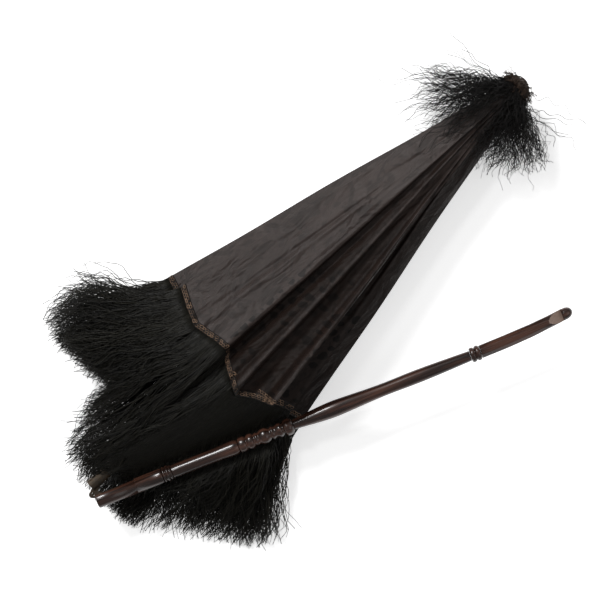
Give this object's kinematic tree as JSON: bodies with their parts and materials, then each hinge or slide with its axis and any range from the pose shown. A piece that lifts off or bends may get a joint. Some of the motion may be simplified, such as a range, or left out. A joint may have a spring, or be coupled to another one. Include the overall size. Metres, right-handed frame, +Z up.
{
  "type": "folding parasol",
  "caption": "Closed folding carriage parasol: dark silk damask cover with looped braid and deep fringe, ribs and runner inside, turned wooden handle folded back on a hinge.",
  "frame": {"origin": "middle of the flat end face of the tip ferrule", "axes": "+X runs along the stick from the tip to the folding hinge, +Y points to the side the handle is folded to, +Z is up with the parasol lying on a table"},
  "size_m": [0.3735, 0.2275, 0.0541],
  "materials": {
    "silk": "aged silk damask",
    "fringe": "matte silk threads",
    "wood": "polished",
    "steel": "japanned",
    "brass": "aged"
  },
  "bodies": {
    "stick": {"tip_ferrule": "wood", "silk_rosette": "silk", "top_notch": "brass", "upper_stick": "wood", "stick_hinge": "brass", "top_fringe_left": "fringe", "top_fringe_right": "fringe"},
    "upper_catch": {"upper_spring_catch": "brass"},
    "lower_catch": {"lower_spring_catch": "brass"},
    "runner": {"runner": "brass"},
    "rib_1": {"rib_1": "steel"},
    "stretcher_1": {"stretcher_1": "steel"},
    "rib_2": {"rib_2": "steel"},
    "stretcher_2": {"stretcher_2": "steel"},
    "rib_3": {"rib_3": "steel"},
    "stretcher_3": {"stretcher_3": "steel"},
    "rib_4": {"rib_4": "steel"},
    "stretcher_4": {"stretcher_4": "steel"},
    "rib_5": {"rib_5": "steel"},
    "stretcher_5": {"stretcher_5": "steel"},
    "rib_6": {"rib_6": "steel"},
    "stretcher_6": {"stretcher_6": "steel"},
    "rib_7": {"rib_7": "steel"},
    "stretcher_7": {"stretcher_7": "steel"},
    "rib_8": {"rib_8": "steel"},
    "stretcher_8": {"stretcher_8": "steel"},
    "gore_1_half_a": {"gore_1_half_a": "silk"},
    "gore_1_half_b": {"gore_1_half_b": "silk"},
    "gore_2_half_a": {"gore_2_half_a": "silk"},
    "gore_2_half_b": {"gore_2_half_b": "silk"},
    "gore_3_half_a": {"gore_3_half_a": "silk"},
    "gore_3_half_b": {"gore_3_half_b": "silk"},
    "gore_4_half_a": {"gore_4_half_a": "silk"},
    "gore_4_half_b": {"gore_4_half_b": "silk"},
    "gore_5_half_a": {"gore_5_half_a": "silk"},
    "gore_5_half_b": {"gore_5_half_b": "silk"},
    "gore_6_half_a": {"gore_6_half_a": "silk"},
    "gore_6_half_b": {"gore_6_half_b": "silk"},
    "gore_7_half_a": {"gore_7_half_a": "silk"},
    "gore_7_half_b": {"gore_7_half_b": "silk"},
    "gore_8_half_a": {"gore_8_half_a": "silk"},
    "gore_8_half_b": {"gore_8_half_b": "silk"},
    "handle": {"handle_hinge": "brass", "hinge_pin": "brass", "handle_core": "wood", "ring_collar": "wood", "handle_barrel": "wood", "turned_beads": "wood", "handle_spindle": "wood", "double_ring": "wood", "grip_end": "wood"},
    "lock_sleeve": {"lock_sleeve": "wood"}
  },
  "joints": [
    {"name": "runner_slide", "type": "slide", "parent": "stick", "child": "runner", "axis": [-1, 0, 0], "range_m": [0, 0.09134], "deforming": ["gore_1_half_a", "gore_1_half_b", "gore_2_half_a", "gore_2_half_b", "gore_3_half_a", "gore_3_half_b", "gore_4_half_a", "gore_4_half_b", "gore_5_half_a", "gore_5_half_b", "gore_6_half_a", "gore_6_half_b", "gore_7_half_a", "gore_7_half_b", "gore_8_half_a", "gore_8_half_b", "top_fringe_left", "top_fringe_right"]},
    {"name": "upper_catch_press", "type": "slide", "parent": "stick", "child": "upper_catch", "axis": [0, 0, -1], "range_m": [0, 0.0013], "stiffness_N_per_m": 1200, "springref_m": -0.0008},
    {"name": "lower_catch_press", "type": "slide", "parent": "stick", "child": "lower_catch", "axis": [0, 0, -1], "range_m": [0, 0.0013], "stiffness_N_per_m": 1200, "springref_m": -0.0008},
    {"name": "rib_1_hinge", "type": "hinge", "parent": "stick", "child": "rib_1", "pos_m": [0.018, 0.0048, 0.00199], "axis": [0, -0.3827, 0.9239], "range_deg": [0, 44.52]},
    {"name": "rib_2_hinge", "type": "hinge", "parent": "stick", "child": "rib_2", "pos_m": [0.018, 0.00199, 0.0048], "axis": [0, -0.9239, 0.3827], "range_deg": [0, 44.52]},
    {"name": "rib_3_hinge", "type": "hinge", "parent": "stick", "child": "rib_3", "pos_m": [0.018, -0.00199, 0.0048], "axis": [0, -0.9239, -0.3827], "range_deg": [0, 44.52]},
    {"name": "rib_4_hinge", "type": "hinge", "parent": "stick", "child": "rib_4", "pos_m": [0.018, -0.0048, 0.00199], "axis": [0, -0.3827, -0.9239], "range_deg": [0, 44.52]},
    {"name": "rib_5_hinge", "type": "hinge", "parent": "stick", "child": "rib_5", "pos_m": [0.018, -0.0048, -0.00199], "axis": [0, 0.3827, -0.9239], "range_deg": [0, 44.52]},
    {"name": "rib_6_hinge", "type": "hinge", "parent": "stick", "child": "rib_6", "pos_m": [0.018, -0.00199, -0.0048], "axis": [0, 0.9239, -0.3827], "range_deg": [0, 44.52]},
    {"name": "rib_7_hinge", "type": "hinge", "parent": "stick", "child": "rib_7", "pos_m": [0.018, 0.00199, -0.0048], "axis": [0, 0.9239, 0.3827], "range_deg": [0, 44.52]},
    {"name": "rib_8_hinge", "type": "hinge", "parent": "stick", "child": "rib_8", "pos_m": [0.018, 0.0048, -0.00199], "axis": [0, 0.3827, 0.9239], "range_deg": [0, 44.52]},
    {"name": "stretcher_1_hinge", "type": "hinge", "parent": "runner", "child": "stretcher_1", "pos_m": [0.22128, 0.00665, 0.00276], "axis": [0, 0.3827, -0.9239], "range_deg": [0, 59.92]},
    {"name": "stretcher_2_hinge", "type": "hinge", "parent": "runner", "child": "stretcher_2", "pos_m": [0.22128, 0.00276, 0.00665], "axis": [0, 0.9239, -0.3827], "range_deg": [0, 59.92]},
    {"name": "stretcher_3_hinge", "type": "hinge", "parent": "runner", "child": "stretcher_3", "pos_m": [0.22128, -0.00276, 0.00665], "axis": [0, 0.9239, 0.3827], "range_deg": [0, 59.92]},
    {"name": "stretcher_4_hinge", "type": "hinge", "parent": "runner", "child": "stretcher_4", "pos_m": [0.22128, -0.00665, 0.00276], "axis": [0, 0.3827, 0.9239], "range_deg": [0, 59.92]},
    {"name": "stretcher_5_hinge", "type": "hinge", "parent": "runner", "child": "stretcher_5", "pos_m": [0.22128, -0.00665, -0.00276], "axis": [0, -0.3827, 0.9239], "range_deg": [0, 59.92]},
    {"name": "stretcher_6_hinge", "type": "hinge", "parent": "runner", "child": "stretcher_6", "pos_m": [0.22128, -0.00276, -0.00665], "axis": [0, -0.9239, 0.3827], "range_deg": [0, 59.92]},
    {"name": "stretcher_7_hinge", "type": "hinge", "parent": "runner", "child": "stretcher_7", "pos_m": [0.22128, 0.00276, -0.00665], "axis": [0, -0.9239, -0.3827], "range_deg": [0, 59.92]},
    {"name": "stretcher_8_hinge", "type": "hinge", "parent": "runner", "child": "stretcher_8", "pos_m": [0.22128, 0.00665, -0.00276], "axis": [0, -0.3827, -0.9239], "range_deg": [0, 59.92]},
    {"name": "gore_1_half_b_fold", "type": "hinge", "parent": "rib_2", "child": "gore_1_half_b", "pos_m": [0.018, 0.00199, 0.0048], "axis": [-0.9701, 0.1152, 0.2135], "range_deg": [0, 22.61]},
    {"name": "gore_1_half_a_fold", "type": "hinge", "parent": "rib_1", "child": "gore_1_half_a", "pos_m": [0.018, 0.0048, 0.00199], "axis": [0.9974, -0.0268, 0.0662], "range_deg": [0, 130.83]},
    {"name": "gore_2_half_b_fold", "type": "hinge", "parent": "rib_3", "child": "gore_2_half_b", "pos_m": [0.018, -0.00199, 0.0048], "axis": [-0.6934, -0.1108, 0.7119], "range_deg": [0, 7.93]},
    {"name": "gore_2_half_a_fold", "type": "hinge", "parent": "rib_2", "child": "gore_2_half_a", "pos_m": [0.018, 0.00199, 0.0048], "axis": [0.9969, -0.0615, 0.0482], "range_deg": [0, 155.16]},
    {"name": "gore_3_half_a_fold", "type": "hinge", "parent": "rib_3", "child": "gore_3_half_a", "pos_m": [0.018, -0.00199, 0.0048], "axis": [0.9873, 0.07, -0.1427], "range_deg": [0, 26.37]},
    {"name": "gore_3_half_b_fold", "type": "hinge", "parent": "rib_4", "child": "gore_3_half_b", "pos_m": [0.018, -0.0048, 0.00199], "axis": [-0.9981, -0.0189, -0.0591], "range_deg": [0, 127.08]},
    {"name": "gore_4_half_a_fold", "type": "hinge", "parent": "rib_4", "child": "gore_4_half_a", "pos_m": [0.018, -0.0048, 0.00199], "axis": [0.9993, 0.0128, -0.0349], "range_deg": [0, 66.44]},
    {"name": "gore_4_half_b_fold", "type": "hinge", "parent": "rib_5", "child": "gore_4_half_b", "pos_m": [0.018, -0.0048, -0.00199], "axis": [-0.9993, 0.0009, -0.0375], "range_deg": [0, 81.45]},
    {"name": "gore_5_half_a_fold", "type": "hinge", "parent": "rib_5", "child": "gore_5_half_a", "pos_m": [0.018, -0.0048, -0.00199], "axis": [0.9982, 0.0311, -0.0512], "range_deg": [0, 111.58]},
    {"name": "gore_5_half_b_fold", "type": "hinge", "parent": "rib_6", "child": "gore_5_half_b", "pos_m": [0.018, -0.00199, -0.0048], "axis": [-0.9934, -0.0353, -0.1095], "range_deg": [0, 37.59]},
    {"name": "gore_6_half_a_fold", "type": "hinge", "parent": "rib_6", "child": "gore_6_half_a", "pos_m": [0.018, -0.00199, -0.0048], "axis": [0.7255, 0.1282, 0.6762], "range_deg": [0, 12.92]},
    {"name": "gore_6_half_b_fold", "type": "hinge", "parent": "rib_7", "child": "gore_6_half_b", "pos_m": [0.018, 0.00199, -0.0048], "axis": [-0.9952, 0.0919, 0.0332], "range_deg": [0, 143.77]},
    {"name": "gore_7_half_a_fold", "type": "hinge", "parent": "rib_7", "child": "gore_7_half_a", "pos_m": [0.018, 0.00199, -0.0048], "axis": [0.9962, -0.0208, 0.0843], "range_deg": [0, 41.6]},
    {"name": "gore_7_half_b_fold", "type": "hinge", "parent": "rib_8", "child": "gore_7_half_b", "pos_m": [0.018, 0.0048, -0.00199], "axis": [-0.9985, 0.0269, 0.0467], "range_deg": [0, 107.65]},
    {"name": "gore_8_half_a_fold", "type": "hinge", "parent": "rib_8", "child": "gore_8_half_a", "pos_m": [0.018, 0.0048, -0.00199], "axis": [0.9989, 0.0047, 0.0463], "range_deg": [0, 93.12]},
    {"name": "gore_8_half_b_fold", "type": "hinge", "parent": "rib_1", "child": "gore_8_half_b", "pos_m": [0.018, 0.0048, 0.00199], "axis": [-0.9984, 0.0383, 0.0408], "range_deg": [0, 54.56]},
    {"name": "handle_fold", "type": "hinge", "parent": "stick", "child": "handle", "pos_m": [0.371, 0.0048, 0], "axis": [0, 0, -1], "range_deg": [0, 158.2]},
    {"name": "sleeve_slide", "type": "slide", "parent": "handle", "child": "lock_sleeve", "axis": [0.9285, -0.3714, 0], "range_m": [0, 0.02]}
  ],
  "couplings": [
    {"joint": "rib_1_hinge", "follows": "runner_slide", "rad_per_m": 8.5031},
    {"joint": "rib_2_hinge", "follows": "runner_slide", "rad_per_m": 8.5031},
    {"joint": "rib_3_hinge", "follows": "runner_slide", "rad_per_m": 8.5031},
    {"joint": "rib_4_hinge", "follows": "runner_slide", "rad_per_m": 8.5031},
    {"joint": "rib_5_hinge", "follows": "runner_slide", "rad_per_m": 8.5031},
    {"joint": "rib_6_hinge", "follows": "runner_slide", "rad_per_m": 8.5031},
    {"joint": "rib_7_hinge", "follows": "runner_slide", "rad_per_m": 8.5031},
    {"joint": "rib_8_hinge", "follows": "runner_slide", "rad_per_m": 8.5031},
    {"joint": "stretcher_1_hinge", "follows": "runner_slide", "rad_per_m": 11.446},
    {"joint": "stretcher_2_hinge", "follows": "runner_slide", "rad_per_m": 11.446},
    {"joint": "stretcher_3_hinge", "follows": "runner_slide", "rad_per_m": 11.446},
    {"joint": "stretcher_4_hinge", "follows": "runner_slide", "rad_per_m": 11.446},
    {"joint": "stretcher_5_hinge", "follows": "runner_slide", "rad_per_m": 11.446},
    {"joint": "stretcher_6_hinge", "follows": "runner_slide", "rad_per_m": 11.446},
    {"joint": "stretcher_7_hinge", "follows": "runner_slide", "rad_per_m": 11.446},
    {"joint": "stretcher_8_hinge", "follows": "runner_slide", "rad_per_m": 11.446},
    {"joint": "gore_1_half_b_fold", "follows": "runner_slide", "rad_per_m": 4.3162},
    {"joint": "gore_1_half_a_fold", "follows": "runner_slide", "rad_per_m": 24.996},
    {"joint": "gore_2_half_b_fold", "follows": "runner_slide", "rad_per_m": 1.5111},
    {"joint": "gore_2_half_a_fold", "follows": "runner_slide", "rad_per_m": 29.644},
    {"joint": "gore_3_half_a_fold", "follows": "runner_slide", "rad_per_m": 5.0358},
    {"joint": "gore_3_half_b_fold", "follows": "runner_slide", "rad_per_m": 24.279},
    {"joint": "gore_4_half_a_fold", "follows": "runner_slide", "rad_per_m": 12.691},
    {"joint": "gore_4_half_b_fold", "follows": "runner_slide", "rad_per_m": 15.56},
    {"joint": "gore_5_half_a_fold", "follows": "runner_slide", "rad_per_m": 21.317},
    {"joint": "gore_5_half_b_fold", "follows": "runner_slide", "rad_per_m": 7.1796},
    {"joint": "gore_6_half_a_fold", "follows": "runner_slide", "rad_per_m": 2.4642},
    {"joint": "gore_6_half_b_fold", "follows": "runner_slide", "rad_per_m": 27.468},
    {"joint": "gore_7_half_a_fold", "follows": "runner_slide", "rad_per_m": 7.9456},
    {"joint": "gore_7_half_b_fold", "follows": "runner_slide", "rad_per_m": 20.567},
    {"joint": "gore_8_half_a_fold", "follows": "runner_slide", "rad_per_m": 17.79},
    {"joint": "gore_8_half_b_fold", "follows": "runner_slide", "rad_per_m": 10.422}
  ]
}
